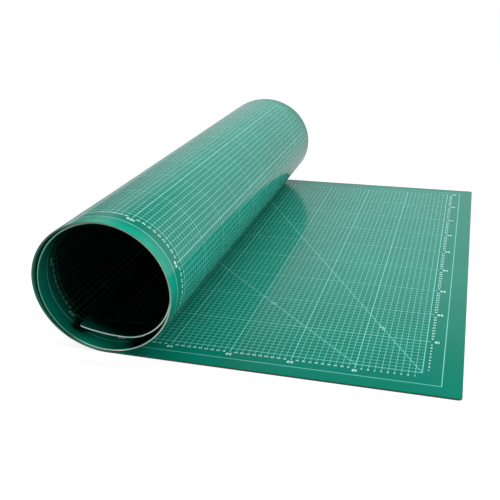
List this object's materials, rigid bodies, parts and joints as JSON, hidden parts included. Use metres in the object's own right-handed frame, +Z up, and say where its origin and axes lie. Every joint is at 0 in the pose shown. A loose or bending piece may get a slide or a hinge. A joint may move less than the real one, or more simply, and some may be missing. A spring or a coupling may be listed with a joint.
{
  "type": "cutting mat",
  "caption": "Large flexible self-healing cutting mat with a printed centimetre grid on both faces, rolled up at one end and lying flat at the other, whose free end lifts.",
  "frame": {"origin": "bottom centre of the box around the mat as it lies half unrolled", "axes": "+X along the mat towards its free end, +Y along the roll, away from the end that the picture shows, +Z up from the table"},
  "size_m": [0.6749, 1.0116, 0.2239],
  "materials": {
    "green_face": "satin green PVC with a fine leather-like grain",
    "cushion_ply": "soft pale grey PVC, seen only on the cut edge",
    "core_ply": "stiff off-white PVC, seen only on the cut edge",
    "grid_ink": "pale screen-printed ink of the grid, frame and numbers"
  },
  "bodies": {
    "roll": {"roll_top_face": "green_face", "roll_top_cushion": "cushion_ply", "roll_core": "core_ply", "roll_bottom_cushion": "cushion_ply", "roll_bottom_face": "green_face"},
    "free_end": {"free_end_top_face": "green_face", "free_end_top_cushion": "cushion_ply", "free_end_core": "core_ply", "free_end_bottom_cushion": "cushion_ply", "free_end_bottom_face": "green_face"}
  },
  "joints": [
    {"name": "free_end_lift", "type": "hinge", "parent": "roll", "child": "free_end", "pos_m": [0.03747, 0, 0.003], "axis": [0, -1, 0], "range_deg": [0, 45]}
  ]
}
